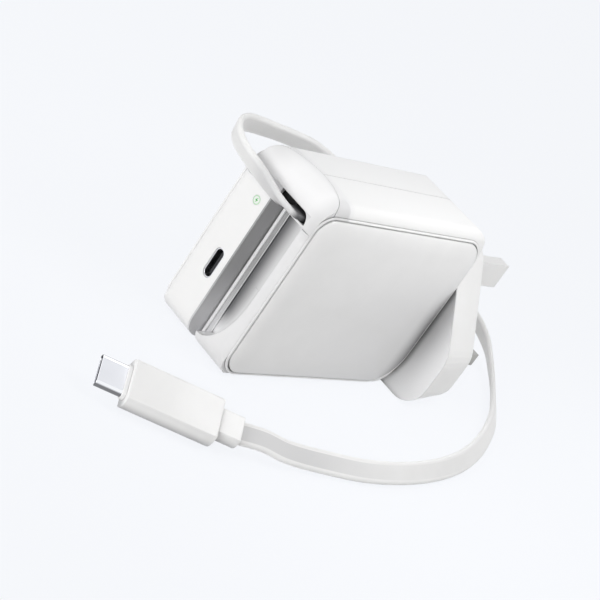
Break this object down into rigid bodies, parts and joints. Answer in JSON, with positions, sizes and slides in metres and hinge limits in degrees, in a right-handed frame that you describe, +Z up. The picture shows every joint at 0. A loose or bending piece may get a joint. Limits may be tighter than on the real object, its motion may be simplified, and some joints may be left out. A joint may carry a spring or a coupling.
{
  "type": "laptop power adapter",
  "caption": "Compact mains adapter with three-pin plug base, USB-C socket, status light and a flat lead on a spring reel whose plug docks in the front face.",
  "frame": {"origin": "under the middle of the adapter on the surface it stands on: midway across the body and midway from the front face to the tip of the earth pin", "axes": "+X across the body to its right side seen from the front, +Y from the front face back to the mains pins, +Z up"},
  "size_m": [0.0842, 0.1842, 0.055],
  "materials": {
    "shell_white": "smooth satin white moulding",
    "panel_white": "glossy pillowed side panel",
    "liner_grey": "matte grey",
    "guide_grey": "natural acetal",
    "base_white": "fine satin white",
    "pin_white": "satin white",
    "pin_brass": "nickel-plated brass, satin",
    "sleeve_white": "satin white",
    "contact_copper": "rolled copper alloy",
    "screw_steel": "zinc-plated",
    "board_green": "solder mask",
    "port_steel": "drawn stainless steel",
    "port_black": "black nylon",
    "light_green": "translucent, lit green",
    "led_body": "moulded lens",
    "fuse_ceramic": "ceramic tube with plated caps",
    "ferrite_green": "epoxy-coated ferrite",
    "can_blue": "sleeved aluminium can",
    "film_yellow": "moulded box",
    "ferrite_grey": "sintered ferrite",
    "tape_yellow": "polyester tape",
    "chip_black": "moulded epoxy",
    "spreader_alu": "rolled sheet",
    "chassis_steel": "stamped sheet",
    "axle_steel": "ground",
    "brush_brown": "phenolic block with copper brushes",
    "reel_grey": "moulded acetal",
    "spring_steel": "blued spring strip",
    "ring_brass": "polished",
    "lead_white": "matte elastomer jacket",
    "grip_white": "satin overmould",
    "plug_steel": "nickel-plated"
  },
  "bodies": {
    "adapter": {"front_frame": "shell_white", "dock_liner": "liner_grey", "slot_guide": "guide_grey", "left_shell": "shell_white", "right_shell": "shell_white", "left_side_panel": "panel_white", "right_side_panel": "panel_white", "plug_base": "base_white", "pin_carrier": "base_white", "base_screws": "screw_steel", "earth_pin": "pin_white", "live_pin": "pin_brass", "neutral_pin": "pin_brass", "live_sleeve": "sleeve_white", "neutral_sleeve": "sleeve_white", "live_contact": "contact_copper", "neutral_contact": "contact_copper", "main_board": "board_green", "port_shell": "port_steel", "port_tongue": "port_black", "light_pipe": "light_green", "status_led": "led_body", "mains_fuse": "fuse_ceramic", "emi_choke": "ferrite_green", "bulk_capacitors": "can_blue", "output_capacitors": "can_blue", "safety_capacitor": "film_yellow", "transformer_core": "ferrite_grey", "transformer_winding": "tape_yellow", "power_chips": "chip_black", "heat_spreader": "spreader_alu", "reel_chassis": "chassis_steel", "reel_axle": "axle_steel", "brush_block": "brush_brown", "lock_pivot": "axle_steel", "feed_lead": "lead_white", "lead": "lead_white", "plug_relief": "grip_white", "plug_grip": "grip_white", "plug_shell": "plug_steel", "plug_contacts": "port_black"},
    "reel": {"cable_reel": "reel_grey", "wound_lead": "lead_white", "reel_spring": "spring_steel", "spring_cover": "chassis_steel", "slip_rings": "ring_brass"},
    "lock": {"lock_arm": "chassis_steel"}
  },
  "joints": [
    {"name": "reel_spin", "type": "hinge", "parent": "adapter", "child": "reel", "pos_m": [0.0046, -0.0177, 0.0275], "axis": [1, 0, 0], "range_deg": [-1260, 0]},
    {"name": "lock_swing", "type": "hinge", "parent": "adapter", "child": "lock", "pos_m": [-0.0005, -0.00038, 0.04482], "axis": [1, 0, 0], "range_deg": [-4, 4]}
  ]
}
